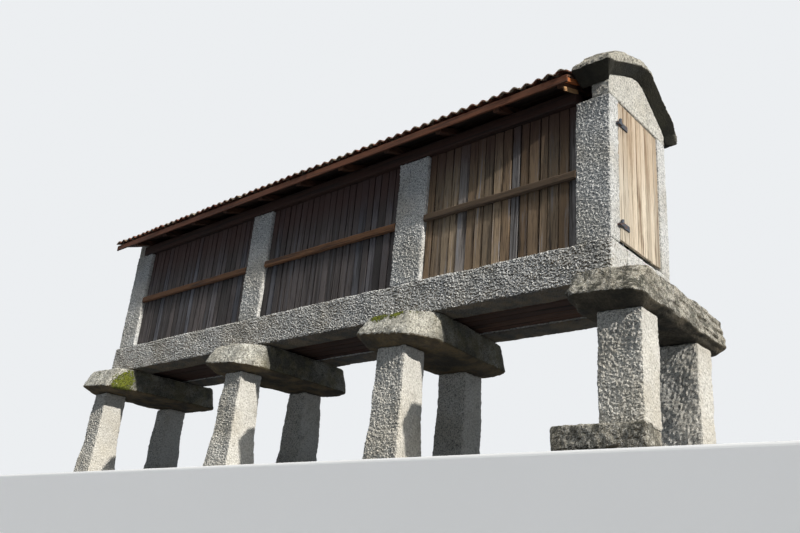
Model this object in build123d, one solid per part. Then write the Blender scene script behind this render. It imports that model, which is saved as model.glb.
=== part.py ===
from build123d import *
import os

# A raised granary, in millimetres. X runs along the granary with +X at the door end,
# Y runs across it, with -Y on the side where the door is hinged, and +Z is up.
# Places along X are counted from the outer face of the door end and then moved by
# centre_x, so that the whole part is centred over the origin at ground level.

# Walls
WALL_LENGTH = 6600
WALL_HALF = 484
WALL_HEIGHT = 1200

# Wall posts, from the door end to the far end, and the bays between them
POST_WIDTH = [285, 341, 314, 329]
BAY_LENGTH = [1486, 1820]
POST_DEPTH = 145

# Pillars, from the door end: height, sizes at the top, flare at the foot, and how far each
# one stands from the middle of its post, in the front row and in the back row
PILLAR_HEIGHT = 940
PILLAR_WIDTH = [320, 310, 270, 270]
PILLAR_DEPTH = 250
PILLAR_FLARE = [0, 60, 110, 90]
PILLAR_KNEE = 0.35
PILLAR_FRONT_SHIFT = [232, 1, 39, -185]
PILLAR_BACK_SHIFT = [232, -59, -21, -245]
PILLAR_INSET = 36

# Flat stone under the front pillar at the door end: how far it reaches past the pillar
# towards the far end, the door end and the front, and where its door side steps back
BASE_HEIGHT = 165
BASE_MARGIN = [275, 75]
BASE_PROUD = 130
BASE_STEP_FROM = 100
BASE_STEP_TO = 200

# Capstones, from the door end: overhang of the front and back noses past the wall, and reach
# of each nose from its pillar's centre towards the far end and towards the door end
CAPSTONE_HEIGHT = 269
CAPSTONE_FRONT = [286, 246, 256, 246]
CAPSTONE_BACK = [316, 176, 196, 196]
FRONT_NOSE_REACH = [[330, 240], [310, 440], [330, 370], [270, 500]]
BACK_NOSE_REACH = [[310, 220], [230, 390], [220, 450], [180, 650]]

# Capstone shape: height of the lip, where it is widest, at the far and at the door side, how far
# the underside and the top are drawn in at the front, back, door and far sides, and the cuts
# across the front corner at the door side and across the other corners
LIP_HEIGHT = [[110, 40], [100, 15], [90, 15], [75, 20]]
UNDERSIDE_INSET = [120, 60, 60, 40]
TOP_INSET = [105, 60, 20, 20]
FRONT_CORNER = [60, 200, 190, 120]
CAPSTONE_CORNER = 60

# Sill stones and the floor boards that sit in a groove along their inner faces
SILL_HEIGHT = 311
SILL_PROUD = 6
SILL_DEPTH = 250
SILL_FAR_PROUD = 65
SILL_JOINT_SHIFT = [-88, -1]
FLOOR_ABOVE_CAPSTONE = 25
FLOOR_THICK = 30
FLOOR_GROOVE = 30

# Slatted panels and their middle rails
SLAT_PITCH = 87
SLAT_GAP = 12
SLAT_THICK = 25
SLAT_INSET = 34
RAIL_PROUD = 12
RAIL_ABOVE_SILL = 540
RAIL_HEIGHT = 75

# Roof slopes
EAVE_OVERHANG = 246
DECK_EAVE_ABOVE_WALL = 95
ROOF_RISE = 0.40
DECK_THICK = 22
TILE_BED = 24
TILE_THICK = 58
TILE_RIB_PITCH = 105
TILE_RIB_FOOT = 78
TILE_RIB_TOP = 34
VERGE_OVERHANG = 190
ROOF_CAP_GAP = 15
RIDGE_TILE_HALF = 110
RIDGE_TILE_THICK = 34
FASCIA_SETBACK = 25
FASCIA_THICK = 20
FASCIA_DROP = 43

# Rafters, ridge board and wall plates
RAFTER_PITCH = 605
RAFTER_WIDTH = 70
RAFTER_DEPTH = 70
RAFTER_END_GAP = 75
RIDGE_BOARD_HALF = 25
RIDGE_BOARD_DEPTH = 125
RIDGE_BOARD_GAP = 12
PLATE_PROUD = 16
PLATE_WIDTH = 120

# Gable stone: heights above the posts at the front face, the crown and the back face
GABLE_THICK = 150
GABLE_FRONT = 165
GABLE_BACK = 95
GABLE_APEX = 378
CROWN_HALF = 100
CROWN_DROP = 25

# Bent cap slab on the gable: how far it reaches past the walls and along the roof, how far
# its two feet drop, and its thickness over the five points of the gable stone's top, from
# front to back, at its outer and at its inner face
CAP_FRONT = 176
CAP_BACK = 88
CAP_FRONT_DROP = 65
CAP_BACK_DROP = 75
CAP_TIP_THICK = 98
CAP_INNER = 220
CAP_OUTER = 90
CAP_OUTER_THICK = [155, 127, 112, 90, 85]
CAP_INNER_THICK = [220, 130, 115, 95, 90]

# Door leaf, straps and pins
LEAF_SIDE_GAP = 6
LEAF_FLOOR_GAP = 18
LEAF_HEAD_GAP = 8
LEAF_SETBACK = 5
LEAF_THICK = 35
HINGE_OUT = 15
HINGE_FROM_FLOOR = 158
HINGE_FROM_HEAD = 195
STRAP_REACH = 140
STRAP_THICK = 8
STRAP_HEIGHT = 42
KNUCKLE_RADIUS = 12
PIN_RADIUS = 5
PIN_CLEARANCE = 0.5
PIN_SEAT = 0.3
BRACKET_REACH = 55
BRACKET_HEIGHT = 14

# Heights of the courses above the ground
capstone_top = PILLAR_HEIGHT + CAPSTONE_HEIGHT
sill_top = capstone_top + SILL_HEIGHT
wall_top = sill_top + WALL_HEIGHT
floor_z = (capstone_top + FLOOR_ABOVE_CAPSTONE, capstone_top + FLOOR_ABOVE_CAPSTONE + FLOOR_THICK)

# Faces across the granary
jamb_face = WALL_HALF - POST_DEPTH
sill_face = WALL_HALF + SILL_PROUD
sill_inner = sill_face - SILL_DEPTH
slat_face = WALL_HALF - SLAT_INSET
rail_face = WALL_HALF + RAIL_PROUD
eave_tip = WALL_HALF + EAVE_OVERHANG
fascia_face = eave_tip - FASCIA_SETBACK
fascia_inner = fascia_face - FASCIA_THICK
plate_outer = WALL_HALF + PLATE_PROUD
plate_inner = plate_outer - PLATE_WIDTH
pillar_row = WALL_HALF - PILLAR_INSET

# Ends of the posts along X, from the door end
post_ends = []
post_face = 0
for post_width, bay_length in zip(POST_WIDTH, BAY_LENGTH + [0]):
    post_ends.append((post_face - post_width, post_face))
    post_face = post_face - post_width - bay_length
post_ends.append((-WALL_LENGTH, -WALL_LENGTH + POST_WIDTH[-1]))
bay_ends = [(post_ends[i + 1][1], post_ends[i][0]) for i in range(len(post_ends) - 1)]

# Pillars, ends of the capstones' noses, and the ends of the sill and the roof along X
post_x = [(ends[0] + ends[1]) / 2 for ends in post_ends]
front_x = [x + shift for x, shift in zip(post_x, PILLAR_FRONT_SHIFT)]
back_x = [x + shift for x, shift in zip(post_x, PILLAR_BACK_SHIFT)]
front_noses = [(x - reach[0], x + reach[1]) for x, reach in zip(front_x, FRONT_NOSE_REACH)]
back_noses = [(x - reach[0], x + reach[1]) for x, reach in zip(back_x, BACK_NOSE_REACH)]
sill_far = -WALL_LENGTH - SILL_FAR_PROUD
sill_joints = [post_x[i + 1] + SILL_JOINT_SHIFT[i] for i in range(2)]
floor_ends = (sill_far + SILL_DEPTH, -SILL_DEPTH)
roof_ends = (-WALL_LENGTH - VERGE_OVERHANG, -CAP_INNER - ROOF_CAP_GAP)
far_foot = back_x[-1] - (PILLAR_WIDTH[-1] + PILLAR_FLARE[-1]) / 2
far_tip = min(far_foot, front_noses[-1][0], back_noses[-1][0])
door_tip = max(front_noses[0][1], back_noses[0][1])
centre_x = -(far_tip + door_tip) / 2


def along(x):
    return x + centre_x


def block(x_ends, y_ends, z_ends):
    x0, x1 = along(x_ends[0]), along(x_ends[1])
    y0, y1 = y_ends
    z0, z1 = z_ends
    centre = Pos((x0 + x1) / 2, (y0 + y1) / 2, (z0 + z1) / 2)
    return centre * Box(x1 - x0, y1 - y0, z1 - z0)


def bar(outline, x_ends):
    # A bar along X with the closed outline of (y, z) points
    x0, x1 = along(x_ends[0]), along(x_ends[1])
    edge = Polyline(*[(x0, y, z) for y, z in outline], close=True)
    return extrude(make_face(edge), amount=x1 - x0, dir=(1, 0, 0))


def to_back(shape):
    return mirror(shape, about=Plane.XZ)


def save(name, *solids):
    shape = solids[0] if len(solids) == 1 else Compound(children=list(solids))
    export_step(shape, "parts/" + name + ".step")


def deck_under(y):
    # Height of the underside of the roof deck at a distance y from the ridge line
    return wall_top + DECK_EAVE_ABOVE_WALL + (eave_tip - abs(y)) * ROOF_RISE


def section(x, y, width, depth, z):
    return Pos(along(x), y, z) * Rectangle(width, depth)


def pillar(index, x, y, low):
    # A tapered stone that flares below its knee
    flare = PILLAR_FLARE[index]
    knee = low + (PILLAR_HEIGHT - low) * PILLAR_KNEE
    width = PILLAR_WIDTH[index]
    foot = section(x, y, width + flare, PILLAR_DEPTH + flare, low)
    middle = section(x, y, width + flare / 3, PILLAR_DEPTH + flare / 3, knee)
    top = section(x, y, width, PILLAR_DEPTH, PILLAR_HEIGHT)
    return loft([foot, middle, top], ruled=True)


def base_stone():
    # A flat stone that ends flush with the pillar behind and beside its back half
    half_width = (PILLAR_WIDTH[0] + PILLAR_FLARE[0]) / 2
    half_depth = (PILLAR_DEPTH + PILLAR_FLARE[0]) / 2
    far = along(front_x[0] - half_width - BASE_MARGIN[0])
    side = along(front_x[0] + half_width)
    tip = side + BASE_MARGIN[1]
    front = -pillar_row - half_depth - BASE_PROUD
    back = -pillar_row + half_depth
    plan = [(far, front), (tip, front), (tip, front + BASE_STEP_FROM), (side, front + BASE_STEP_TO),
            (side, back), (far, back)]
    return extrude(make_face(Polyline(*plan, close=True)), amount=BASE_HEIGHT, dir=(0, 0, 1))


def capstone_outline(index, inset, z_ends):
    # Outline of a capstone drawn in by the front, back, door and far insets; its height goes
    # evenly from the first value at the far end of the front nose to the second at the door end
    front = -WALL_HALF - CAPSTONE_FRONT[index] + inset[0]
    back = WALL_HALF + CAPSTONE_BACK[index] - inset[1]
    front_far, front_door = front_noses[index][0] + inset[3], front_noses[index][1] - inset[2]
    back_far, back_door = back_noses[index][0] + inset[3], back_noses[index][1] - inset[2]
    cut, front_cut = CAPSTONE_CORNER, FRONT_CORNER[index]
    points = [(front_far + cut, front), (front_door - front_cut, front), (front_door, front + front_cut),
              (back_door, back - cut), (back_door - cut, back), (back_far + cut, back),
              (back_far, back - cut), (front_far, front + cut)]
    rise = (z_ends[1] - z_ends[0]) / (front_door - front_far)
    places = [(along(x), y, z_ends[0] + (x - front_far) * rise) for x, y in points]
    return make_face(Polyline(*places, close=True))


def capstone(index):
    # A slab across the granary, widest at its lip, drawn in to its underside and its top
    lip_z = [PILLAR_HEIGHT + height for height in LIP_HEIGHT[index]]
    low = capstone_outline(index, UNDERSIDE_INSET, (PILLAR_HEIGHT, PILLAR_HEIGHT))
    lip = capstone_outline(index, [0, 0, 0, 0], lip_z)
    top = capstone_outline(index, TOP_INSET, (capstone_top, capstone_top))
    return loft([low, lip, top], ruled=True)


def sill_stone(x_ends, groove_ends):
    # A long stone with a groove inside that holds the edges of the floor boards
    stone = block(x_ends, (-sill_face, -sill_inner), (capstone_top, sill_top))
    return stone - block(groove_ends, (-sill_inner - FLOOR_GROOVE, -sill_inner), floor_z)


def end_sill(x_ends):
    return block(x_ends, (-sill_inner, sill_inner), (capstone_top, sill_top))


def floor_boards():
    reach = sill_inner + FLOOR_GROOVE
    return block(floor_ends, (-reach, reach), floor_z)


def post(x_ends):
    return block(x_ends, (-WALL_HALF, -jamb_face), (sill_top, wall_top))


def slats(start, end):
    # Ends of the upright slats that fill a bay, with a narrow slit between each two
    count = round((end - start) / SLAT_PITCH)
    pitch = (end - start + SLAT_GAP) / count
    return [(start + i * pitch, start + (i + 1) * pitch - SLAT_GAP) for i in range(count)]


def side_panel(x_ends):
    y_ends = (-slat_face, -slat_face + SLAT_THICK)
    return [block(ends, y_ends, (sill_top, wall_top)) for ends in slats(*x_ends)]


def rail_z():
    return (sill_top + RAIL_ABOVE_SILL, sill_top + RAIL_ABOVE_SILL + RAIL_HEIGHT)


def side_rail(x_ends):
    return block(x_ends, (-rail_face, -slat_face), rail_z())


def end_panel():
    outer = -WALL_LENGTH + SLAT_INSET
    x_ends = (outer, outer + SLAT_THICK)
    return [block(x_ends, ends, (sill_top, wall_top)) for ends in slats(-jamb_face, jamb_face)]


def end_rail():
    x_ends = (-WALL_LENGTH - RAIL_PROUD, -WALL_LENGTH + SLAT_INSET)
    return block(x_ends, (-jamb_face, jamb_face), rail_z())


def wall_plate():
    # A beam on the posts whose top follows the undersides of the rafters
    top = [(y, deck_under(y) - RAFTER_DEPTH) for y in (-plate_inner, -plate_outer)]
    outline = [(-plate_outer, wall_top), (-plate_inner, wall_top)] + top
    return bar(outline, (-WALL_LENGTH + GABLE_THICK, -CAP_INNER))


def gable_top():
    # Top outline of the gable stone at the door end, from front to back
    crown = wall_top + GABLE_APEX - CROWN_DROP
    return [(-WALL_HALF, wall_top + GABLE_FRONT), (-CROWN_HALF, crown), (0, wall_top + GABLE_APEX),
            (CROWN_HALF, crown), (WALL_HALF, wall_top + GABLE_BACK)]


def gable_door():
    feet = [(WALL_HALF, wall_top), (-WALL_HALF, wall_top)]
    return bar(feet + gable_top(), (-GABLE_THICK, 0))


def gable_far():
    feet = [(WALL_HALF, wall_top), (-WALL_HALF, wall_top)]
    profile = [(y, deck_under(y)) for y in (-WALL_HALF, 0, WALL_HALF)]
    return bar(feet + profile, (-WALL_LENGTH, -WALL_LENGTH + GABLE_THICK))


def cap_outline(x, thicks):
    # Outline of the cap slab across the granary, with its thicknesses from front to back
    under = gable_top()
    front_foot = (-WALL_HALF - CAP_FRONT, under[0][1] - CAP_FRONT_DROP)
    front_tip = (front_foot[0], front_foot[1] + CAP_TIP_THICK)
    front_shoulder = (-WALL_HALF - CAP_FRONT / 2, under[0][1] + CAP_TIP_THICK)
    back_foot = (WALL_HALF + CAP_BACK / 4, under[-1][1] - CAP_BACK_DROP)
    back_tip = (WALL_HALF + CAP_BACK, back_foot[1])
    top = [(y, z + thick) for (y, z), thick in zip(under, thicks)]
    points = [front_foot] + under + [back_foot, back_tip] + top[::-1] + [front_shoulder, front_tip]
    return make_face(Polyline(*[(along(x), y, z) for y, z in points], close=True))


def gable_cap():
    # A bent slab that follows the top of the gable stone and hangs past both walls
    inner = cap_outline(-CAP_INNER, CAP_INNER_THICK)
    return loft([inner, cap_outline(CAP_OUTER, CAP_OUTER_THICK)], ruled=True)


def sloped(y_ends, low, high):
    # The (y, z) outline of a layer between two heights above the underside of the deck
    lower = [(y, deck_under(y) + low) for y in y_ends]
    upper = [(y, deck_under(y) + high) for y in reversed(y_ends)]
    return lower + upper


def rafter(x):
    ends = (x - RAFTER_WIDTH / 2, x + RAFTER_WIDTH / 2)
    return bar(sloped((-fascia_inner, -RIDGE_BOARD_HALF), -RAFTER_DEPTH, 0), ends)


def rafters():
    first = -WALL_LENGTH + GABLE_THICK + RAFTER_END_GAP
    last = roof_ends[1] - RAFTER_END_GAP
    count = round((last - first) / RAFTER_PITCH)
    return [rafter(first + i * (last - first) / count) for i in range(count + 1)]


def ridge_board():
    top = deck_under(RIDGE_BOARD_HALF) - RIDGE_BOARD_GAP
    x_ends = (-WALL_LENGTH + GABLE_THICK, -GABLE_THICK)
    return block(x_ends, (-RIDGE_BOARD_HALF, RIDGE_BOARD_HALF), (top - RIDGE_BOARD_DEPTH, top))


def deck():
    return bar(sloped((-fascia_inner, 0), 0, DECK_THICK), roof_ends)


def fascia():
    y_ends = (-fascia_face, -fascia_inner)
    low = deck_under(fascia_face) - FASCIA_DROP
    top = [(y, deck_under(y) + DECK_THICK) for y in reversed(y_ends)]
    return bar([(y, low) for y in y_ends] + top, roof_ends)


def tiles():
    # The tiles of one slope as a bed with a rib up the slope for each roll of the tiles
    count = round((roof_ends[1] - roof_ends[0]) / TILE_RIB_PITCH)
    pitch = (roof_ends[1] - roof_ends[0]) / count
    low = deck_under(eave_tip) + DECK_THICK
    half_foot, half_top = TILE_RIB_FOOT / 2, TILE_RIB_TOP / 2
    top = [(roof_ends[0], low + TILE_BED)]
    for i in range(count):
        middle = roof_ends[0] + (i + 0.5) * pitch
        top += [(middle - half_foot, low + TILE_BED), (middle - half_top, low + TILE_THICK),
                (middle + half_top, low + TILE_THICK), (middle + half_foot, low + TILE_BED)]
    outline = [(roof_ends[1], low), (roof_ends[0], low)] + top + [(roof_ends[1], low + TILE_BED)]
    edge = Polyline(*[(along(x), -eave_tip, z) for x, z in outline], close=True)
    slope_length = eave_tip * (1 + ROOF_RISE ** 2) ** 0.5
    return extrude(make_face(edge), amount=slope_length, dir=(0, 1, ROOF_RISE))


def ridge_tiles():
    half = RIDGE_TILE_HALF
    base = DECK_THICK + TILE_THICK
    lower = [(y, deck_under(y) + base) for y in (-half, 0, half)]
    edge = deck_under(half) + base + RIDGE_TILE_THICK
    upper = [(y, edge + (half - abs(y)) * ROOF_RISE / 2) for y in (half, 0, -half)]
    return bar(lower + upper, roof_ends)


def door_leaf():
    reach = jamb_face - LEAF_SIDE_GAP
    z_ends = (sill_top + LEAF_FLOOR_GAP, wall_top - LEAF_HEAD_GAP)
    return block((-LEAF_SETBACK - LEAF_THICK, -LEAF_SETBACK), (-reach, reach), z_ends)


def strap(height):
    # A strap on the face of the leaf with a knuckle round the pin
    leaf_edge = -jamb_face + LEAF_SIDE_GAP
    z_ends = (height - STRAP_HEIGHT / 2, height + STRAP_HEIGHT / 2)
    plate = block((-LEAF_SETBACK, STRAP_THICK - LEAF_SETBACK), (leaf_edge, -jamb_face + STRAP_REACH), z_ends)
    neck = block((0, HINGE_OUT), (leaf_edge, -jamb_face + KNUCKLE_RADIUS), z_ends)
    centre = Pos(along(HINGE_OUT), -jamb_face, height)
    knuckle = centre * Cylinder(KNUCKLE_RADIUS, STRAP_HEIGHT)
    hole = centre * Cylinder(PIN_RADIUS + PIN_CLEARANCE, STRAP_HEIGHT)
    return plate + neck + knuckle - hole


def pintle(height):
    # A pin that stands on a bracket fixed to the face of the corner post
    low = height - STRAP_HEIGHT / 2 - PIN_SEAT
    bracket_y = (-jamb_face - BRACKET_REACH, -jamb_face + KNUCKLE_RADIUS)
    bracket = block((0, HINGE_OUT + KNUCKLE_RADIUS), bracket_y, (low - BRACKET_HEIGHT, low))
    pin_height = BRACKET_HEIGHT + PIN_SEAT + STRAP_HEIGHT
    pin_centre = low - BRACKET_HEIGHT + pin_height / 2
    pin = Pos(along(HINGE_OUT), -jamb_face, pin_centre) * Cylinder(PIN_RADIUS, pin_height)
    return bracket + pin


def save_supports():
    lows = [BASE_HEIGHT, 0, 0, 0]
    save("pillars_front", *[pillar(i, x, -pillar_row, lows[i]) for i, x in enumerate(front_x)])
    save("pillars_back", *[pillar(i, x, pillar_row, 0) for i, x in enumerate(back_x)])
    save("base_stone", base_stone())
    for i in range(len(front_noses)):
        save("capstone_" + str(len(front_noses) - i), capstone(i))


def save_floor():
    joints = [sill_far, sill_joints[1], sill_joints[0], 0]
    for i in range(len(joints) - 1):
        ends = (joints[i], joints[i + 1])
        groove_ends = (max(ends[0], floor_ends[0]), min(ends[1], floor_ends[1]))
        stone = sill_stone(ends, groove_ends)
        save("sill_front_" + str(i + 1), stone)
        save("sill_back_" + str(i + 1), to_back(stone))
    save("sill_ends", end_sill((sill_far, floor_ends[0])), end_sill((floor_ends[1], 0)))
    save("floor_boards", floor_boards())


def save_walls():
    save("posts_front", *[post(ends) for ends in post_ends])
    save("posts_back", *[to_back(post(ends)) for ends in post_ends])
    for i, bay in enumerate(reversed(bay_ends)):
        panel = side_panel(bay)
        save("slats_front_" + str(i + 1), *panel)
        save("slats_back_" + str(i + 1), *[to_back(slat) for slat in panel])
    save("rails_front", *[side_rail(bay) for bay in bay_ends])
    save("rails_back", *[to_back(side_rail(bay)) for bay in bay_ends])
    save("slats_end", *end_panel())
    save("rail_end", end_rail())
    save("gable_stone_door", gable_door())
    save("gable_stone_far", gable_far())
    save("gable_cap", gable_cap())


def save_roof():
    save("wall_plate_front", wall_plate())
    save("wall_plate_back", to_back(wall_plate()))
    front = rafters()
    save("rafters_front", *front)
    save("rafters_back", *[to_back(piece) for piece in front])
    save("ridge_board", ridge_board())
    save("roof_deck_front", deck())
    save("roof_deck_back", to_back(deck()))
    save("fascia_front", fascia())
    save("fascia_back", to_back(fascia()))
    save("roof_tiles_front", tiles())
    save("roof_tiles_back", to_back(tiles()))
    save("ridge_tiles", ridge_tiles())


def save_door():
    heights = [sill_top + HINGE_FROM_FLOOR, wall_top - HINGE_FROM_HEAD]
    save("door_leaf", door_leaf())
    save("door_straps", *[strap(height) for height in heights])
    save("door_pintles", *[pintle(height) for height in heights])


os.makedirs("parts", exist_ok=True)
save_supports()
save_floor()
save_walls()
save_roof()
save_door()
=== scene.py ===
from collections import namedtuple
import math
import random

import bmesh
import bpy
from mathutils import Matrix, Vector, noise


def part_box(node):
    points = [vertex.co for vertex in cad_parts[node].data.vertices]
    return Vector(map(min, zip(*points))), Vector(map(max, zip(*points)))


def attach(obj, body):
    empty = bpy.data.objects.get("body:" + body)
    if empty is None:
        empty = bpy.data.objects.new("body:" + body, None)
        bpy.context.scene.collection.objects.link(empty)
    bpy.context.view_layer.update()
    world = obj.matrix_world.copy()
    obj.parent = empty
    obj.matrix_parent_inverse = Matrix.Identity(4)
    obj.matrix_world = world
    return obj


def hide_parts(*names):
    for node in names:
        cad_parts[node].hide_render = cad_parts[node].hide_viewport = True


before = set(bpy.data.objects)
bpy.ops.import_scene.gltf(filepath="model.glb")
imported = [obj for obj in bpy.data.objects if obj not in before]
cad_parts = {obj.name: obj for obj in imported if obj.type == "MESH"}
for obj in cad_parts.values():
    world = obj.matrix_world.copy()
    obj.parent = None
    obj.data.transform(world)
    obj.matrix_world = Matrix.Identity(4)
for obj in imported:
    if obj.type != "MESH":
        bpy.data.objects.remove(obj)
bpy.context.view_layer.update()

# Lengths are in metres. The long side that is seen faces -Y, and the door end faces +X.

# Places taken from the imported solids
DOOR_FACE_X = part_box("posts_front")[1][0]
SILL_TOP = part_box("posts_front")[0][2]
WALL_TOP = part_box("posts_front")[1][2]

# Camera, fitted to the long side's straight edges; its angles are in radians
CAMERA_FROM_CORNER = Vector((2.425, -5.201, -2.378))
CAMERA_YAW = 0.754
CAMERA_PITCH = 0.375
CAMERA_ROLL = 0.089
FOCAL_LENGTH = 35.95
SENSOR_WIDTH = 36.0

# Stage and light
TERRACE_FRONT = -0.74
TERRACE_REACH = 24.0
FLOOR_LEVEL = -2.5
FLOOR_THICK = 0.2
FLOOR_UNDERLAP = 1.0
STAGE_ROUNDING = 0.03
STAGE_COLOUR = (0.86, 0.87, 0.88, 1.0)
STAGE_CLOUD = (0.80, 0.81, 0.82, 1.0)
STAGE_BOUNCE = (0.20, 0.22, 0.25, 1.0)
STAGE_LIFT = 0.22
BACKGROUND = (0.84, 0.86, 0.88)
FILL_COLOUR = (0.74, 0.86, 1.0)
FILL_STRENGTH = 0.14
SUN_COLOUR = (1.0, 0.965, 0.90)
SUN_TOWARDS = Vector((1.0, -0.13, 0.46))
SUN_STRENGTH = 3.35
SUN_ANGLE = 0.02
SOFT_TOWARDS = Vector((0.35, -0.50, 1.15))
SOFT_STRENGTH = 1.0
SOFT_ANGLE = 0.25


def add_camera():
    data = bpy.data.cameras.new("camera")
    data.lens = FOCAL_LENGTH
    data.sensor_width = SENSOR_WIDTH
    data.clip_end = 200.0
    camera = bpy.data.objects.new("camera", data)
    bpy.context.scene.collection.objects.link(camera)
    forward = Vector((-math.sin(CAMERA_YAW) * math.cos(CAMERA_PITCH),
                      math.cos(CAMERA_YAW) * math.cos(CAMERA_PITCH),
                      math.sin(CAMERA_PITCH)))
    right = Vector((math.cos(CAMERA_YAW), math.sin(CAMERA_YAW), 0.0))
    up = right.cross(forward)
    rolled_right = math.cos(CAMERA_ROLL) * right + math.sin(CAMERA_ROLL) * up
    rolled_up = math.cos(CAMERA_ROLL) * up - math.sin(CAMERA_ROLL) * right
    camera.matrix_world = Matrix((rolled_right, rolled_up, -forward)).transposed().to_4x4()
    camera.location = CAMERA_FROM_CORNER + Vector((DOOR_FACE_X, 0.0, SILL_TOP))
    bpy.context.scene.camera = camera


# Materials: noise scales count features per metre, and bumps are depths

def rgb(red, green, blue):
    """A linear colour from three sRGB values of 0 to 255."""
    def linear(value):
        value /= 255
        return value / 12.92 if value <= 0.04045 else ((value + 0.055) / 1.055) ** 2.4
    return (linear(red), linear(green), linear(blue), 1.0)


class Nodes:
    """One material and short calls that add nodes to it."""

    def __init__(self, name, roughness):
        self.material = bpy.data.materials.new(name)
        self.material.use_nodes = True
        self.tree = self.material.node_tree
        self.shader = self.tree.nodes["Principled BSDF"]
        self.shader.inputs["Roughness"].default_value = roughness
        self.place = self.tree.nodes.new("ShaderNodeTexCoord").outputs["Object"]

    def put(self, socket, value):
        if isinstance(value, bpy.types.NodeSocket):
            self.tree.links.new(value, socket)
        else:
            socket.default_value = value

    def moved(self, scale, shift=(0, 0, 0)):
        node = self.tree.nodes.new("ShaderNodeMapping")
        self.put(node.inputs["Vector"], self.place)
        self.put(node.inputs["Scale"], scale)
        self.put(node.inputs["Location"], shift)
        return node.outputs["Vector"]

    def noise(self, scale, detail=4.0, rough=0.55, vector=None, warp=0.0):
        node = self.tree.nodes.new("ShaderNodeTexNoise")
        self.put(node.inputs["Vector"], vector or self.place)
        node.inputs["Scale"].default_value = scale
        node.inputs["Detail"].default_value = detail
        node.inputs["Roughness"].default_value = rough
        node.inputs["Distortion"].default_value = warp
        return node.outputs["Fac"]

    def swing(self, scale, detail, rough, reach):
        """Noise that swings around zero."""
        return self.times(self.maths("SUBTRACT", self.noise(scale, detail, rough), 0.5), reach)

    def ramp(self, factor, low, high, start=0.0, end=1.0):
        """A smooth step of factor from low to high, running from start to end."""
        node = self.tree.nodes.new("ShaderNodeMapRange")
        node.interpolation_type = "SMOOTHSTEP"
        self.put(node.inputs["Value"], factor)
        node.inputs["From Min"].default_value = low
        node.inputs["From Max"].default_value = high
        node.inputs["To Min"].default_value = start
        node.inputs["To Max"].default_value = end
        return node.outputs["Result"]

    def mix(self, factor, first, second, kind="MIX"):
        node = self.tree.nodes.new("ShaderNodeMix")
        node.data_type = "RGBA"
        node.blend_type = kind
        self.put(node.inputs["Factor"], factor)
        self.put(node.inputs[6], first)
        self.put(node.inputs[7], second)
        return node.outputs[2]

    def dimmed(self, colour, light, darkest, palest):
        """A colour made darker or paler by a board's or a tile's own light."""
        node = self.tree.nodes.new("ShaderNodeCombineColor")
        share = self.ramp(light, 0.0, 1.0, darkest, palest)
        for i in range(3):
            self.put(node.inputs[i], share)
        return self.mix(1.0, colour, node.outputs[0], "MULTIPLY")

    def maths(self, kind, first, second):
        node = self.tree.nodes.new("ShaderNodeMath")
        node.operation = kind
        self.put(node.inputs[0], first)
        self.put(node.inputs[1], second)
        return node.outputs[0]

    def times(self, first, second):
        return self.maths("MULTIPLY", first, second)

    def part(self, vector, index):
        node = self.tree.nodes.new("ShaderNodeSeparateXYZ")
        self.put(node.inputs[0], vector)
        return node.outputs[index]

    def attribute(self, name):
        node = self.tree.nodes.new("ShaderNodeAttribute")
        node.attribute_name = name
        return node.outputs["Vector"]

    def normal_part(self, index):
        return self.part(self.tree.nodes.new("ShaderNodeNewGeometry").outputs["Normal"], index)

    def bump(self, *heights):
        """Adds one bump after another. Each is a height and its depth."""
        normal = None
        for height, depth in heights:
            node = self.tree.nodes.new("ShaderNodeBump")
            node.inputs["Strength"].default_value = 1.0
            node.inputs["Distance"].default_value = depth
            self.put(node.inputs["Height"], height)
            if normal is not None:
                self.put(node.inputs["Normal"], normal)
            normal = node.outputs["Normal"]
        self.put(self.shader.inputs["Normal"], normal)

    def finish(self, colour):
        self.put(self.shader.inputs["Base Color"], colour)
        return self.material


# What lies in and on the granite
DARK_FLECK, PALE_FLECK = rgb(56, 54, 54), rgb(248, 247, 243)
WARM_CAST, GREY_CAST = rgb(206, 196, 176), rgb(150, 146, 138)
DARK_LICHEN, PALE_LICHEN = rgb(54, 54, 44), rgb(186, 182, 166)
# Underside colours: partly real staining and grime, partly painted shade under the stones.
BROWN_STAIN_AND_SHADE = rgb(62, 52, 34), rgb(132, 110, 72)
GREY_STAIN_AND_SHADE = rgb(56, 52, 42), rgb(112, 102, 84)
BLACK_STAIN_AND_SHADE = rgb(28, 29, 23), rgb(56, 54, 42)
GRIME_AND_SHADE = rgb(38, 34, 24)
# The green brown film on faces towards the door end: partly a real growth, partly painted shade.
DARK_ALGAE_AND_SHADE, PALE_ALGAE_AND_SHADE = rgb(52, 50, 34), rgb(98, 92, 62)
DARK_MOSS, PALE_MOSS = rgb(50, 56, 16), rgb(142, 150, 42)
MOSS_DEPTH = 0.012


def granite(name, pale, mid, dark, relief=1.0, lichen=0.0, underside=0.0, stain_and_shade_tones=BROWN_STAIN_AND_SHADE,
            algae_and_shade=0.0, calm_end=0.6):
    """Coarse speckled granite, with moss where the mesh's attribute asks for it.

    Relief scales the grain's bumps. Lichen, underside and algae_and_shade are the amounts of crusts and
    spots, of staining with painted shade below, and of a green brown film, partly a real growth and partly
    painted shade, on faces towards the door end. Calm_end is the share of the speckle on those faces.
    """
    n = Nodes(name, 0.92)
    patch = n.noise(8.0, 4.0, 0.6)
    grain = n.noise(62.0, 3.0, 0.72)
    fleck = n.noise(140.0, 2.0, 0.7)
    up = n.normal_part(2)
    colour = speckled(n, (pale, mid, dark), grain, fleck, patch, calm_end)
    if lichen:
        colour = with_lichen(n, colour, up, lichen)
    if underside:
        colour = with_stain_and_shade(n, colour, up, grain, stain_and_shade_tones, underside)
    if algae_and_shade:
        colour = with_algae_and_shade(n, colour, patch, algae_and_shade)
    colour, tufts = with_moss(n, colour)
    n.bump((grain, 0.009 * relief), (fleck, 0.005 * relief), (tufts, MOSS_DEPTH))
    return n.finish(colour)


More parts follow.
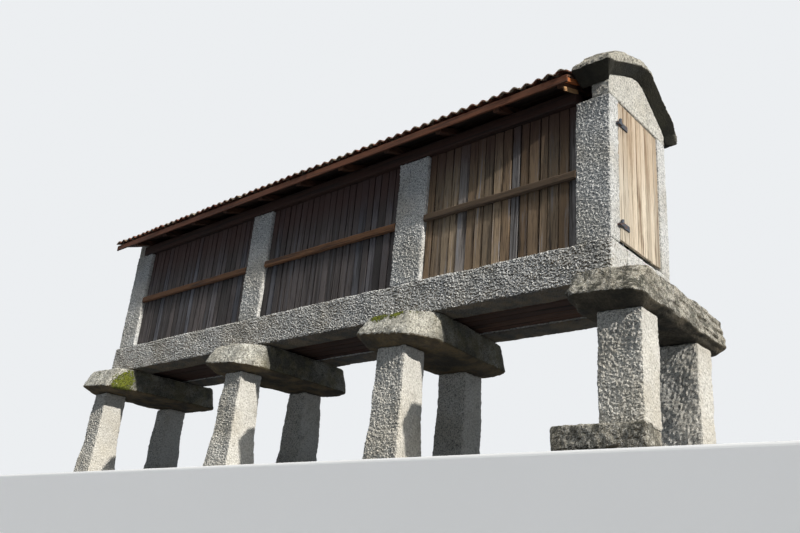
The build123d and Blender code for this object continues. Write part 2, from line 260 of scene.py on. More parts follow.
def speckled(n, tones, grain, fleck, patch, calm_end):
    """Dark grains and flecks in pale stone, under a broad warm cast and a patchy grey one."""
    pale, mid, dark = tones
    calm = n.ramp(n.normal_part(0), 0.5, 0.85, 1.0, calm_end)
    colour = n.mix(n.ramp(grain, 0.40, 0.60), mid, pale)
    colour = n.mix(n.times(n.ramp(grain, 0.46, 0.35), calm), colour, dark)
    colour = n.mix(n.times(n.ramp(fleck, 0.45, 0.36, 0.0, 0.92), calm), colour, DARK_FLECK)
    colour = n.mix(n.times(n.ramp(fleck, 0.54, 0.63, 0.0, 0.85), calm), colour, PALE_FLECK)
    colour = n.mix(n.ramp(n.noise(1.9, 3.0), 0.38, 0.68, 0.0, 0.40), colour, WARM_CAST, "MULTIPLY")
    return n.mix(n.ramp(patch, 0.58, 0.74, 0.0, 0.32), colour, GREY_CAST, "MULTIPLY")


def with_lichen(n, colour, up, amount):
    """Dark crusts, fewer on undersides, and pale spots on faces that look up."""
    crusts = n.times(n.ramp(n.noise(11.0, 6.0, 0.74), 0.47, 0.56), n.ramp(up, -0.35, 0.35, 0.35, 1.0))
    colour = n.mix(n.times(crusts, amount), colour, DARK_LICHEN)
    spots = n.ramp(n.noise(19.0, 6.0, 0.75, n.moved((1, 1, 1), (4, 7, 2))), 0.54, 0.62)
    return n.mix(n.times(n.times(spots, n.ramp(up, -0.2, 0.4)), amount), colour, PALE_LICHEN)


def with_stain_and_shade(n, colour, up, grain, stain_and_shade_tones, amount):
    """Staining with painted shade on undersides, and painted shade where the mesh's attribute marks a dark
    part.
    """
    below = n.maths("MAXIMUM", n.ramp(up, -0.10, -0.42), n.part(n.attribute("moss"), 1))
    stain_and_shade = n.mix(n.ramp(n.noise(5.0, 4.0, 0.6), 0.35, 0.65), *stain_and_shade_tones)
    stain_and_shade = n.mix(n.ramp(grain, 0.35, 0.65, 0.0, 0.5), stain_and_shade, GRIME_AND_SHADE)
    return n.mix(n.times(below, amount), colour, stain_and_shade)


def with_algae_and_shade(n, colour, patch, amount):
    """A green brown film on faces towards the door end, partly a real growth and partly painted shade, which
    leaves the front noses free.
    """
    film = n.times(n.ramp(n.normal_part(0), 0.5, 0.9), n.ramp(n.noise(3.5, 4.0), 0.3, 0.6, 0.6, 1.0))
    film = n.times(film, n.ramp(n.part(n.place, 1), -0.62, -0.42, 0.0, amount))
    return n.mix(film, colour, n.mix(n.ramp(patch, 0.4, 0.6), DARK_ALGAE_AND_SHADE, PALE_ALGAE_AND_SHADE))


def with_moss(n, colour):
    """Ragged patches of moss. Returns the colour, and the height of the tufts."""
    tufts = n.noise(70.0, 5.0, 0.7)
    edge = n.maths("ADD", n.swing(16.0, 5.0, 0.7, 1.3), n.swing(52.0, 4.0, 0.75, 1.7))
    cover = n.ramp(n.maths("ADD", n.part(n.attribute("moss"), 0), edge), 0.42, 0.60)
    green = n.mix(n.ramp(tufts, 0.36, 0.62), DARK_MOSS, PALE_MOSS)
    return n.mix(cover, colour, green), n.times(tufts, cover)


def wood(name, pale, mid, dark, along, red=None, red_from=None, silver=None, streaks=0.8,
         spread=(0.62, 1.2), red_share=0.85, bleached=0.7):
    """Weathered wood whose grain runs along one axis. Each board has its own tone, lit within spread.

    Streaks is the amount of dark grain. Silver bleaches the raised grain, and a few whole boards by
    the share bleached. Red colours the boards from the height red_from upwards, by red_share; on the
    slats that dark red top is partly the wood's own colour and partly painted shade of the eave.
    """
    n = Nodes(name, 0.85)
    tone = n.attribute("tone")
    hue, light, shift = n.part(tone, 0), n.part(tone, 1), n.part(tone, 2)
    vector = along_grain(n, along, shift)
    grain = n.noise(1.0, 5.0, 0.65, vector, 0.6)
    fine = n.noise(5.0, 3.0, 0.6, vector, 0.3)
    colour = n.mix(hue, mid, pale)
    if silver:
        colour = n.mix(n.ramp(hue, 0.82, 0.90, 0.0, bleached), colour, silver)
    colour = n.mix(n.ramp(grain, 0.50, 0.36, 0.0, streaks), colour, dark)
    colour = n.mix(n.ramp(fine, 0.48, 0.34, 0.0, 0.55), colour, dark)
    if silver:
        colour = n.mix(n.ramp(grain, 0.55, 0.72, 0.0, 0.75), colour, silver)
    colour = n.dimmed(colour, light, *spread)
    if red:
        height = n.maths("ADD", n.part(n.place, 2), n.times(grain, 0.18))
        colour = n.mix(n.ramp(height, red_from, red_from + 0.42, 0.0, red_share), colour, red)
    n.bump((grain, 0.004), (fine, 0.0018))
    return n.finish(colour)


def along_grain(n, along, shift):
    """Coordinates drawn out along one axis, and moved by each board's own shift."""
    stretch = [26.0, 26.0, 26.0]
    stretch["XYZ".index(along)] = 1.1
    away = n.tree.nodes.new("ShaderNodeCombineXYZ")
    for i in range(3):
        n.put(away.inputs[i], n.times(shift, 37.0 + 11.0 * i))
    joined = n.tree.nodes.new("ShaderNodeVectorMath")
    joined.operation = "ADD"
    n.put(joined.inputs[0], n.moved(stretch))
    n.put(joined.inputs[1], away.outputs[0])
    return joined.outputs[0]


def clay():
    """Fired clay, each tile in its own tone, with pale crusts that thicken towards the eaves."""
    n = Nodes("clay_tile", 0.88)
    tone = n.attribute("tone")
    hue, light = n.part(tone, 0), n.part(tone, 1)
    grain = n.noise(60.0, 4.0, 0.7)
    colour = n.mix(hue, rgb(132, 76, 56), rgb(166, 104, 76))
    colour = n.mix(n.ramp(grain, 0.35, 0.65, 0.0, 0.5), colour, rgb(112, 56, 40))
    colour = n.mix(n.ramp(n.noise(7.0, 4.0, 0.65), 0.48, 0.66, 0.0, 0.7), colour, rgb(88, 60, 48))
    colour = n.dimmed(colour, light, 0.70, 1.15)
    from_ridge = n.maths("ABSOLUTE", n.part(n.place, 1), 0.0)
    bare = n.ramp(from_ridge, 0.35, 0.72, 0.04, -0.06)
    crust = n.ramp(n.maths("SUBTRACT", n.noise(30.0, 6.0, 0.75), bare), 0.55, 0.63)
    patches = n.ramp(n.noise(4.5, 2.0), 0.36, 0.52)
    colour = n.mix(n.times(crust, patches), colour, rgb(190, 184, 160))
    colour = n.mix(n.ramp(n.noise(90.0, 4.0, 0.7), 0.62, 0.70, 0.0, 0.8), colour, rgb(58, 48, 40))
    n.bump((grain, 0.003), (crust, 0.002))
    return n.finish(colour)


def iron():
    """Dark forged iron with spots of rust."""
    n = Nodes("dark_iron", 0.62)
    n.shader.inputs["Metallic"].default_value = 0.3
    grain = n.noise(140.0, 4.0, 0.7)
    colour = n.mix(n.ramp(grain, 0.35, 0.7), rgb(56, 61, 70), rgb(90, 97, 108))
    colour = n.mix(n.ramp(n.noise(38.0, 4.0, 0.7), 0.52, 0.62, 0.0, 0.85), colour, rgb(96, 58, 38))
    n.bump((grain, 0.0012))
    return n.finish(colour)


STONE = granite("granite", rgb(242, 239, 230), rgb(206, 203, 194), rgb(120, 118, 113))
POST = granite("granite_posts", rgb(241, 241, 239), rgb(204, 205, 204), rgb(110, 112, 116))
SUPPORT = granite("granite_supports", rgb(246, 243, 235), rgb(220, 216, 206), rgb(146, 142, 134),
                  calm_end=0.3)
CAPSTONE = granite("lichened_granite", rgb(238, 236, 225), rgb(204, 201, 188), rgb(118, 114, 101),
                   relief=1.2, lichen=0.46, underside=0.95, algae_and_shade=0.8, calm_end=1.0)
CROWN = granite("lichened_crown", rgb(208, 202, 187), rgb(158, 152, 137), rgb(82, 80, 70),
                relief=1.3, lichen=0.88, underside=1.0, stain_and_shade_tones=GREY_STAIN_AND_SHADE, calm_end=1.0)
CAP = granite("lichened_cap", rgb(230, 224, 208), rgb(184, 178, 162), rgb(96, 94, 82),
              relief=1.3, lichen=0.6, underside=1.0, stain_and_shade_tones=BLACK_STAIN_AND_SHADE, calm_end=1.0)
# The sill's granite is paler than the posts', partly its own colour, partly painted light that brightens its
# fronts.
SILL = granite("granite_sill", rgb(250, 250, 248), rgb(223, 224, 223), rgb(138, 140, 143),
               relief=1.1, lichen=0.16, underside=0.85)
# On the slats, the dark red-brown from red_from upwards is partly the wood's own colour, partly painted shade
# under the eave.
SLAT = wood("grey_slats", rgb(102, 95, 94), rgb(68, 63, 62), rgb(24, 20, 19), "Z",
            red=rgb(54, 29, 23), red_from=WALL_TOP - 0.45, silver=rgb(112, 115, 124))
TAN_SLAT = wood("tan_slats", rgb(182, 162, 136), rgb(134, 110, 84), rgb(40, 31, 24), "Z",
                red=rgb(62, 37, 28), red_from=WALL_TOP - 0.35, silver=rgb(160, 162, 170),
                streaks=0.9, spread=(0.45, 1.25))
DOOR = wood("door_wood", rgb(224, 212, 193), rgb(206, 190, 168), rgb(112, 90, 68), "Z",
            red=rgb(176, 146, 114), red_from=SILL_TOP + 0.55, silver=rgb(228, 222, 212),
            streaks=0.9, spread=(0.76, 1.1), red_share=0.35, bleached=0.0)
BATTEN = wood("door_batten_wood", rgb(200, 184, 160), rgb(178, 158, 132), rgb(96, 76, 56), "Y")
TIMBER = wood("brown_timber", rgb(92, 64, 46), rgb(72, 47, 35), rgb(28, 18, 13), "X")
# The wall plate's dark red-brown is partly the timber's own colour, partly painted shade under the eave.
PLATE = wood("wall_plate_timber", rgb(68, 39, 28), rgb(51, 29, 21), rgb(22, 13, 10), "X")
FASCIA = wood("fascia_timber", rgb(112, 69, 47), rgb(88, 52, 36), rgb(38, 23, 16), "X")
RAIL = wood("rail_timber", rgb(136, 96, 64), rgb(106, 70, 44), rgb(48, 30, 20), "X")
GREY_RAIL = wood("grey_rail_timber", rgb(132, 112, 90), rgb(106, 86, 66), rgb(46, 34, 26), "X")
RAFTER = wood("rafter_timber", rgb(104, 68, 46), rgb(84, 52, 36), rgb(36, 22, 16), "Y")
# The lath's pale tan is painted sunlight, the look of a sunlit strip put into its colour.
PAINTED_SUNLIT_LATH = wood("lath_with_painted_sunlight", rgb(218, 176, 126), rgb(192, 144, 96), rgb(112, 72, 42), "Y")
CUT_WOOD = wood("cut_wood", rgb(196, 122, 66), rgb(176, 98, 48), rgb(116, 62, 32), "Y")
CLAY = clay()
IRON = iron()


# Mesh building

# How far a piece stays clear of the box that it fills, or of what it lies on
CLEARANCE = 0.001


def make_piece(name, mesh, material, replaced=(), body="granary", smooth=False):
    mesh.name = name
    mesh.materials.clear()
    mesh.materials.append(material)
    for polygon in mesh.polygons:
        polygon.use_smooth = smooth
    piece = bpy.data.objects.new(name, mesh)
    bpy.context.scene.collection.objects.link(piece)
    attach(piece, body)
    if replaced:
        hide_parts(*replaced)
    return piece


def from_bmesh(bm):
    bmesh.ops.recalc_face_normals(bm, faces=bm.faces)
    mesh = bpy.data.meshes.new("work")
    bm.to_mesh(mesh)
    bm.free()
    return mesh


def solids(node):
    """The lowest and highest corners of each closed solid in a CAD node, in order along X, then Y."""
    bm = bmesh.new()
    bm.from_mesh(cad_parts[node].data)
    bmesh.ops.remove_doubles(bm, verts=bm.verts, dist=1e-5)
    seen, boxes = set(), []
    for first in bm.verts:
        if first in seen:
            continue
        seen.add(first)
        group, queue = [], [first]
        while queue:
            vert = queue.pop()
            group.append(vert.co.copy())
            for edge in vert.link_edges:
                other = edge.other_vert(vert)
                if other not in seen:
                    seen.add(other)
                    queue.append(other)
        low = Vector([min(co[i] for co in group) for i in range(3)])
        high = Vector([max(co[i] for co in group) for i in range(3)])
        boxes.append((low, high))
    bm.free()
    return sorted(boxes, key=lambda box: (round(box[0].x, 4), round(box[0].y, 4)))


class Boards:
    """Collects boards into one mesh. Each has eased edges, a slight bow and its own tone."""

    def __init__(self, seed):
        self.bm = bmesh.new()
        self.tone = self.bm.verts.layers.float_vector.new("tone")
        self.random = random.Random(seed)

    def add(self, start, end, across, width, thick, ease=0.003, bow=0.002, steps=8, worn=0.0015):
        """A board from start to end. Ease is the bevel, worn the most that its faces are drawn in."""
        start, end = Vector(start), Vector(end)
        run = end - start
        across = Vector(across).normalized()
        out = run.normalized().cross(across)
        pick = self.random.random
        tone = Vector((pick(), pick(), pick()))
        bows = (bow * (2 * pick() - 1), bow * (2 * pick() - 1) * 0.5)
        shift = Vector((pick() * 90, pick() * 90, pick() * 90))
        outline = board_outline(width / 2, thick / 2, ease)
        rings = []
        for i in range(steps + 1):
            t = i / steps
            bend = math.sin(math.pi * t)
            centre = start + run * t + across * (bows[0] * bend) + out * (bows[1] * bend)
            ring = []
            for w, h in outline:
                point = centre + across * w + out * h
                pull = worn * (0.5 + 0.5 * noise.noise(point * 14.0 + shift))
                point -= (across * math.copysign(1.0, w) + out * math.copysign(1.0, h)) * pull
                vert = self.bm.verts.new(point)
                vert[self.tone] = tone
                ring.append(vert)
            rings.append(ring)
        join_rings(self.bm, rings)
        self.bm.faces.new(rings[0][::-1])
        self.bm.faces.new(rings[-1])

    def piece(self, name, material, slot, replaced=(), body="granary"):
        return make_piece(name, from_bmesh(self.bm), material, replaced, body)


def board_outline(half_w, half_t, ease):
    """The corners of a board's cross section with eased edges."""
    return [(-half_w + ease, -half_t), (half_w - ease, -half_t), (half_w, -half_t + ease),
            (half_w, half_t - ease), (half_w - ease, half_t), (-half_w + ease, half_t),
            (-half_w, half_t - ease), (-half_w, -half_t + ease)]


def join_rings(bm, rings):
    """Faces between closed rings of vertices."""
    for low, high in zip(rings, rings[1:]):
        for j in range(len(low)):
            k = (j + 1) % len(low)
            bm.faces.new((low[j], low[k], high[k], high[j]))


def add_beam(boards, low, high, axis, **shape):
    """A squared timber that fills a box and runs along X or Y."""
    middle = (low + high) / 2
    size = high - low
    start, end = middle.copy(), middle.copy()
    start[axis], end[axis] = low[axis] + CLEARANCE, high[axis] - CLEARANCE
    across = Vector((0, 1, 0)) if axis == 0 else Vector((1, 0, 0))
    boards.add(start, end, across, size[1 - axis] - 2 * CLEARANCE, size.z - 2 * CLEARANCE, **shape)


# Stones

# How a stone is worked: the mesh's grid, the rounds of smoothing, the depth of the hollows, the lengths
# of the broad and the fine unevenness, how far the faces first move out, and how high the grit stands
Dressing = namedtuple("Dressing", "grid rounds depth broad fine outset grit")
POST_FRONT = Dressing(grid=0.012, rounds=2, depth=0.006, broad=0.25, fine=0.014, outset=0.004, grit=0.008)
POST_BACK = Dressing(grid=0.020, rounds=2, depth=0.006, broad=0.25, fine=0.03, outset=0.004, grit=0.006)
SILL_FRONT = Dressing(grid=0.012, rounds=3, depth=0.009, broad=0.28, fine=0.014, outset=0.005, grit=0.008)
SILL_BACK = Dressing(grid=0.020, rounds=2, depth=0.009, broad=0.28, fine=0.03, outset=0.005, grit=0.006)
SILL_END = Dressing(grid=0.013, rounds=2, depth=0.008, broad=0.25, fine=0.032, outset=0.004, grit=0.006)
PILLAR_FRONT = Dressing(grid=0.012, rounds=3, depth=0.014, broad=0.24, fine=0.015, outset=0.008, grit=0.008)
PILLAR_BACK = Dressing(grid=0.015, rounds=3, depth=0.014, broad=0.24, fine=0.024, outset=0.008, grit=0.009)
BASE = Dressing(grid=0.012, rounds=4, depth=0.014, broad=0.16, fine=0.03, outset=0.008, grit=0.006)
HEAVY = Dressing(grid=0.012, rounds=6, depth=0.020, broad=0.30, fine=0.03, outset=0.012, grit=0.006)
CRACKED = Dressing(grid=0.011, rounds=8, depth=0.022, broad=0.26, fine=0.03, outset=0.014, grit=0.006)
GABLE = Dressing(grid=0.011, rounds=2, depth=0.005, broad=0.22, fine=0.026, outset=0.003, grit=0.006)
SLAB = Dressing(grid=0.011, rounds=4, depth=0.014, broad=0.17, fine=0.03, outset=0.012, grit=0.006)

# Moss on each capstone: the centre as for at(), the radius and the strength
MOSS = {1: [((-5.88, -0.70, -0.43), 0.40, 1.8), ((-5.98, -0.64, -0.38), 0.22, 1.4),
            ((-6.58, -0.70, -0.36), 0.10, 0.5)],
        2: [((-3.9, -0.55, -0.31), 0.10, 0.4)],
        3: [((-2.05, -0.62, -0.31), 0.13, 0.9), ((-1.85, -0.62, -0.31), 0.12, 0.8),
            ((-1.7, -0.6, -0.31), 0.08, 0.5)],
        4: [((0.02, -0.56, -0.31), 0.14, 0.75), ((0.10, -0.45, -0.31), 0.12, 0.6)]}


def at(x, y, z):
    """A point whose x is counted from the door face and whose z from the top of the sill."""
    return Vector((DOOR_FACE_X + x, y, SILL_TOP + z))


def add_stones():
    stone("posts_front", POST, POST_FRONT, 12)
    stone("posts_back", POST, POST_BACK, 11)
    for i in (1, 2, 3):
        stone(f"sill_front_{i}", SILL, SILL_FRONT, 20 + i)
        stone(f"sill_back_{i}", SILL, SILL_BACK, 40 + i)
    stone("sill_ends", SILL, SILL_END, 60)
    stone("pillars_front", SUPPORT, PILLAR_FRONT, 83)
    stone("pillars_back", SUPPORT, PILLAR_BACK, 82)
    # The base stone takes the darker crown granite, whose darkness there is partly lichen, partly painted
    # shade.
    stone("base_stone", CROWN, BASE, 90)
    for i in (1, 2, 3):
        stone(f"capstone_{i}", CAPSTONE, HEAVY, 100 + i, MOSS[i])
    stone("capstone_4", CROWN, CRACKED, 104, MOSS[4], layered)
    stone("gable_stone_door", STONE, GABLE, 120)
    stone("gable_stone_far", STONE, GABLE, 130)
    stone("gable_cap", CAP, SLAB, 140, reshape=tuck)


def stone(node, material, dressing, seed, moss=(), reshape=None):
    """A rough stone made from a CAD solid: remeshed, its edges worn, and its faces drawn in unevenly.

    Reshape moves each vertex once more, and returns how far it lies in a part darkened with painted shade.
    """
    bm = bmesh.new()
    bm.from_mesh(remeshed(node, dressing.grid))
    if "_front" in node:
        halve_front_grid(bm)
    for _ in range(dressing.rounds):
        bmesh.ops.smooth_vert(bm, verts=bm.verts, factor=0.5,
                              use_axis_x=True, use_axis_y=True, use_axis_z=True)
    bm.normal_update()
    layer = bm.verts.layers.float_vector.new("moss")
    shift = Vector((seed * 3.7, seed * 1.9, seed * 5.3))
    on_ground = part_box(node)[0][2] < 0.01
    for vert in bm.verts:
        place = vert.co.copy()
        if on_ground and vert.normal.z < -0.8 and place.z < 0.02:
            vert.co.z = 0.0
        else:
            vert.co = place - vert.normal * inward(place, vert.normal, dressing, shift)
        vert.co.z = max(vert.co.z, 0.0)
        # The moss attribute's second value is painted shade, the dark band that reshape marks below the cap's
        # rim.
        dark = reshape(vert) if reshape else 0.0
        vert[layer] = Vector((moss_amount(place, moss), dark, 0))
    return make_piece(node + "_rough", from_bmesh(bm), material, [node])


def remeshed(node, grid):
    """A CAD node's mesh, made anew from even squares."""
    work = bpy.data.objects.new("work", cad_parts[node].data.copy())
    bpy.context.scene.collection.objects.link(work)
    remesh = work.modifiers.new("remesh", "REMESH")
    remesh.mode = "VOXEL"
    remesh.voxel_size = grid
    mesh = bpy.data.meshes.new_from_object(work.evaluated_get(bpy.context.evaluated_depsgraph_get()))
    bpy.data.objects.remove(work)
    return mesh


def halve_front_grid(bm):
    """Makes the mesh twice as fine on faces towards the front, where the raking light shows the grit."""
    bm.normal_update()
    facing = {edge: True for face in bm.faces if face.normal.y < -0.6 for edge in face.edges}
    bmesh.ops.subdivide_edges(bm, edges=list(facing), cuts=1, use_grid_fill=True)


def inward(place, normal, dressing, shift):
    """How far a stone's face is drawn in at a place, by broad hollows and by fine grit."""
    hollow = noise.fractal(place / dressing.broad + shift, 1.0, 2.0, 3)
    rough = noise.fractal(place / dressing.fine + shift, 0.8, 2.0, 2)
    grit = dressing.grit * rough * (0.45 + 0.55 * abs(normal.y))
    return dressing.depth * (0.6 + 0.7 * hollow) + grit - dressing.outset


def moss_amount(place, moss):
    amount = 0.0
    for centre, radius, strength in moss:
        reach = (place - at(*centre)).length / radius
        amount = max(amount, strength * max(0.0, 1.0 - reach * reach))
    return amount


def clamp(value):
    return min(max(value, 0.0), 1.0)


def bell(*ratios):
    """1 where every ratio is 0, falling off like a bell as they near 1."""
    return math.exp(-sum(ratio ** 2 for ratio in ratios))


# The door end's capstone: its rounded front nose, and the wavy level lines in its faces
NOSE_START, NOSE_LENGTH, NOSE_SWELL = -0.42, 0.16, 0.030
NOSE_FOOT, NOSE_HEIGHT = SILL_TOP - 0.40, 0.16
LINE_PITCH, LINE_WAVE, LINE_DEPTH = 0.062, 0.040, 0.0055


def layered(vert):
    """Rounds the front nose of the door end's capstone, and draws it in along wavy level lines."""
    nose = clamp((NOSE_START - vert.co.y) / NOSE_LENGTH)
    side = max(0.0, 1.0 - abs(vert.normal.z))
    height = (vert.co.z - NOSE_FOOT) / NOSE_HEIGHT
    vert.co += vert.normal * (NOSE_SWELL * nose * side * bell((height - 0.6) / 0.45))
    line = vert.co.z + LINE_WAVE * noise.noise(vert.co * 3.1)
    share = clamp(0.5 + 1.2 * noise.noise(vert.co * 2.6))
    vert.co -= vert.normal * (LINE_DEPTH * share * (1.0 - math.cos(2 * math.pi * line / LINE_PITCH)))
    return 0.0


# The gable's cap slab: the line of its underside (y, z), how high over it the slab is full, the share
# of the overhang kept at the underside, the share of that height over which the painted shade below
# the rim fades in, the hump on the slab, and its swollen, undercut end at the back
CAP_UNDERSIDE = [Vector(corner) for corner in (
    (-0.66, 2.82), (-0.484, 2.885), (-0.1, 3.073), (0.0, 3.098), (0.1, 3.073), (0.484, 2.815), (0.500, 2.74))]
CAP_FRONT = CAP_UNDERSIDE[1].x
CAP_RIM = 0.060
CAP_UNDERCUT = 0.05
CAP_PAINTED_SHADE_FADE = 0.12
HUMP_X, HUMP_Y, HUMP_HEIGHT = DOOR_FACE_X - 0.06, -0.40, 0.034
HUMP_LENGTH, HUMP_WIDTH = 0.15, 0.17
END_SWELL, END_SWELL_Z, END_SWELL_REACH = 0.034, 2.825, 0.045
END_NOTCH, END_NOTCH_Z, END_NOTCH_REACH = 0.022, 2.735, 0.03


def tuck(vert):
    """Thins the cap slab from below towards its outer and front edges, with a hump in front and a
    round end behind.

    Returns how far a vertex lies in the band below the rim that is darkened with painted shade.
    """
    hump = HUMP_HEIGHT * bell((vert.co.x - HUMP_X) / HUMP_LENGTH, (vert.co.y - HUMP_Y) / HUMP_WIDTH)
    vert.co.z += hump * max(0.0, vert.normal.z)
    swell = END_SWELL * bell((vert.co.z - END_SWELL_Z) / END_SWELL_REACH)
    notch = END_NOTCH * bell((vert.co.z - END_NOTCH_Z) / END_NOTCH_REACH)
    vert.co.y += (swell - notch) * max(0.0, vert.normal.y)
    height = height_in_cap(vert.co.y, vert.co.z) / CAP_RIM
    keep = CAP_UNDERCUT + (1.0 - CAP_UNDERCUT) * min(height, 1.0)
    past = vert.co.x - DOOR_FACE_X
    if past > 0.0:
        vert.co.x = DOOR_FACE_X + past * keep
    if vert.co.y < CAP_FRONT:
        vert.co.y = CAP_FRONT + (vert.co.y - CAP_FRONT) * keep
    return clamp((1.0 - height) / CAP_PAINTED_SHADE_FADE)


def height_in_cap(y, z):
    """Distance of a point of the cap slab from the slab's underside."""
    place = Vector((y, z))
    nearest = 1.0
    for start, end in zip(CAP_UNDERSIDE, CAP_UNDERSIDE[1:]):
        run = end - start
        share = clamp((place - start).dot(run) / run.length_squared)
        nearest = min(nearest, (place - start - run * share).length)
    return nearest


# Walls

# Slats: the slits between them, how far they turn, how far their edges, their places and their feet
# vary, and their thickness with its spread
FRONT_SLIT, BACK_SLIT, END_SLIT = 0.012, 0.004, 0.005
FRONT_TWIST = math.radians(6)
SLAT_EDGE_SPREAD = 0.014
SLAT_PLACE_SPREAD = 0.005
SLAT_FOOT_SPREAD = 0.006
SLAT_THICK, SLAT_THICK_SPREAD = 0.019, 0.003
FLOOR_PLANKS = 5
FLOOR_SLIT = 0.005


def add_slats():
    seed = 200
    for side, slit, twist in (("front", FRONT_SLIT, FRONT_TWIST), ("back", BACK_SLIT, 0.0)):
        for bay in (1, 2, 3):
            seed += 1
            node = f"slats_{side}_{bay}"
            boards = Boards(seed)
            add_panel(boards, solids(node), 0, slit, twist)
            material = TAN_SLAT if bay == 3 and side == "front" else SLAT
            boards.piece(node + "_boards", material, "weathered_slats", [node])
    boards = Boards(210)
    add_panel(boards, solids("slats_end"), 1, END_SLIT)
    boards.piece("slats_end_boards", SLAT, "weathered_slats", ["slats_end"])


def add_panel(boards, boxes, axis, slit, twist=0.0):
    """Upright slats of uneven width, with narrow slits, along X or Y, each turned by up to twist."""
    pick = boards.random.random
    boxes.sort(key=lambda box: box[0][axis])
    edges = [boxes[0][0][axis]]
    for (_, high), (next_low, _) in zip(boxes, boxes[1:]):
        edges.append((high[axis] + next_low[axis]) / 2 + SLAT_EDGE_SPREAD * (pick() - 0.5))
    edges.append(boxes[-1][1][axis])
    across = Vector((1, 0, 0)) if axis == 0 else Vector((0, 1, 0))
    out = Vector((0, 1, 0)) if axis == 0 else Vector((1, 0, 0))
    for (low, high), start_edge, end_edge in zip(boxes, edges, edges[1:]):
        space = slit * (0.3 + pick())
        middle = (low + high) / 2
        middle[axis] = (start_edge + end_edge) / 2
        depth = out * ((pick() - 0.5) * SLAT_PLACE_SPREAD)
        lean = across * ((pick() - 0.5) * SLAT_PLACE_SPREAD)
        foot = low.z + CLEARANCE + SLAT_FOOT_SPREAD * pick() ** 3
        start = Vector((middle.x, middle.y, foot)) + depth - lean
        end = Vector((middle.x, middle.y, high.z - CLEARANCE)) + depth + lean
        turn = twist * (1.3 * pick() - 0.3)
        turned = across * math.cos(turn) + out * math.sin(turn)
        boards.add(start, end, turned, end_edge - start_edge - space,
                   SLAT_THICK + SLAT_THICK_SPREAD * pick(), ease=0.0025, steps=10)


def add_rails():
    """The middle rails. On the long sides, the door bay's rail is a piece of its own, as it is greyer."""
    shape = {"ease": 0.010, "bow": 0.003, "worn": 0.004, "steps": 24}
    for node, seed in (("rails_front", 220), ("rails_back", 230), ("rail_end", 240)):
        axis, material = (1, RAFTER) if node == "rail_end" else (0, RAIL)
        boxes = solids(node)
        boards = Boards(seed)
        for low, high in boxes[:2]:
            add_beam(boards, low, high, axis, **shape)
        boards.piece(node + "_timber", material, "brown_timber", [node])
        for low, high in boxes[2:]:
            boards = Boards(seed + 1)
            add_beam(boards, low, high, axis, **shape)
            boards.piece(node + "_near_timber", GREY_RAIL, "brown_timber")


def add_floor():
    low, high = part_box("floor_boards")
    boards = Boards(250)
    width = (high.y - low.y) / FLOOR_PLANKS
    for i in range(FLOOR_PLANKS):
        y = low.y + width * (i + 0.5)
        cut = low.x + (high.x - low.x) * (0.3 + 0.4 * boards.random.random())
        for x0, x1 in ((low.x, cut), (cut, high.x)):
            start = Vector((x0 + 2 * CLEARANCE, y, (low.z + high.z) / 2))
            end = Vector((x1 - 2 * CLEARANCE, y, (low.z + high.z) / 2))
            boards.add(start, end, (0, 1, 0), width - FLOOR_SLIT, high.z - low.z - 2 * CLEARANCE, steps=20)
    boards.piece("floor_planks", TIMBER, "brown_timber", ["floor_boards"])


# Roof timber

DECK_LOW, DECK_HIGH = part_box("roof_deck_front")
DECK_THICK = 0.022
DECK_REACH = -DECK_LOW.y
DECK_PLANKS = 5
DECK_SLIT = 0.004
PLANK_THICK = 0.019
ROOF_RISE = (DECK_HIGH.z - DECK_THICK - DECK_LOW.z) / DECK_REACH
ROOF_FAR, ROOF_NEAR = DECK_LOW.x, DECK_HIGH.x
SLOPE_TURN = math.atan(ROOF_RISE)
# Rafters, verge board and lath: their middles' height over the deck's underside, their depth, the
# reach of their ends from the ridge line, or a gap there, and their width
RAFTER_MIDDLE, RAFTER_DEPTH = -0.036, 0.062
RAFTER_GAP, RAFTER_END_GAP = 0.004, 0.014
VERGE_MIDDLE, VERGE_DEPTH = -0.023, 0.038
VERGE_START, VERGE_END, VERGE_WIDTH = 0.50, DECK_REACH + 0.014, 0.030
LATH_MIDDLE, LATH_DEPTH = -0.088, 0.040
LATH_START, LATH_END, LATH_WIDTH = 0.46, DECK_REACH - 0.016, 0.014
FASCIA_JOINT, FASCIA_TOP_GAP = 0.55, 0.004
PLATE_HEIGHT, PLATE_END_GAP = 0.117, 0.06
SIDES = ((-1, "front"), (1, "back"))


def roof_point(x, reach, height, side):
    """A point over the roof: reach is how far from the ridge line, height how far above the deck's
    underside."""
    return Vector((x, side * reach, DECK_HIGH.z - DECK_THICK - reach * ROOF_RISE + height))


def add_roof_timber():
    for side, word in SIDES:
        add_deck(side, word)
        add_rafters(side, word)
        add_fascia(side, word)
        add_wall_plate(side, word)
    add_verge()
    add_rafter_lath()
    boards = Boards(300)
    add_beam(boards, *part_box("ridge_board"), 0, worn=0.002, steps=40)
    boards.piece("ridge_board_timber", TIMBER, "brown_timber", ["ridge_board"])


def add_deck(side, word):
    slope = Vector((0, side * math.cos(SLOPE_TURN), -math.sin(SLOPE_TURN)))
    boards = Boards(260 + side)
    width = DECK_REACH / DECK_PLANKS
    for i in range(DECK_PLANKS):
        reach = width * (i + 0.5)
        cut = ROOF_FAR + (0.25 + 0.5 * boards.random.random()) * (ROOF_NEAR - ROOF_FAR)
        for x0, x1 in ((ROOF_FAR, cut), (cut, ROOF_NEAR)):
            start = roof_point(x0 + CLEARANCE, reach, DECK_THICK / 2, side)
            end = roof_point(x1 - CLEARANCE, reach, DECK_THICK / 2, side)
            boards.add(start, end, slope, (width - DECK_SLIT) / math.cos(SLOPE_TURN), PLANK_THICK,
                       ease=0.002, bow=0.001, steps=24)
    boards.piece(f"roof_deck_{word}_planks", TIMBER, "brown_timber", [f"roof_deck_{word}"])


